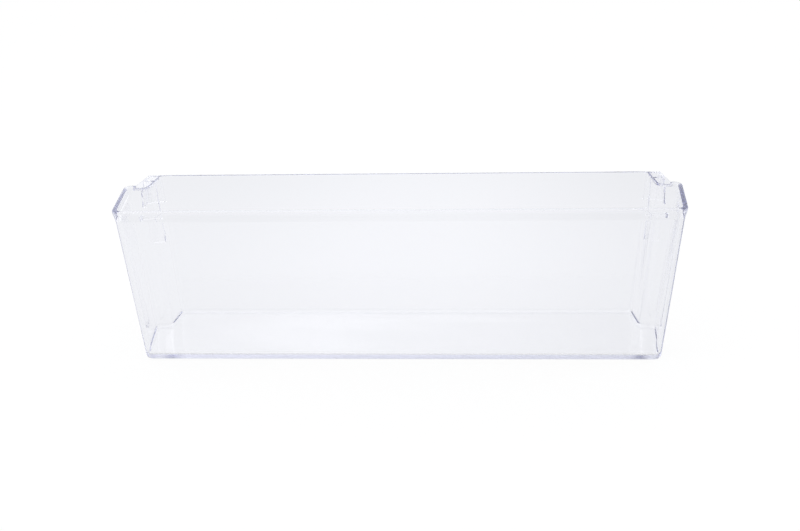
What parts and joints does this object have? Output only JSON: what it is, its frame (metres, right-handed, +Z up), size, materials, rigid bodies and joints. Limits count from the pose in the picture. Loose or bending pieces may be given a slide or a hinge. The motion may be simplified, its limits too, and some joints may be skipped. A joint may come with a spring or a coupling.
{
  "type": "fridge door shelf",
  "caption": "Clear moulded door shelf for a refrigerator: an open bin with a thick rim, a stepped-in rear and downward sockets at both rear corners that drop over the lugs of the door.",
  "frame": {"origin": "middle of the underside, below the centre of the shelf's width and depth", "axes": "+Z up, +X along the width to the right seen from the front, -Y towards the front wall, +Y towards the door"},
  "size_m": [0.449, 0.086, 0.132],
  "materials": {
    "clear_plastic": "clear polished polystyrene with a faint blue tint"
  },
  "bodies": {
    "root": {"door_shelf": "clear_plastic"}
  },
  "joints": []
}
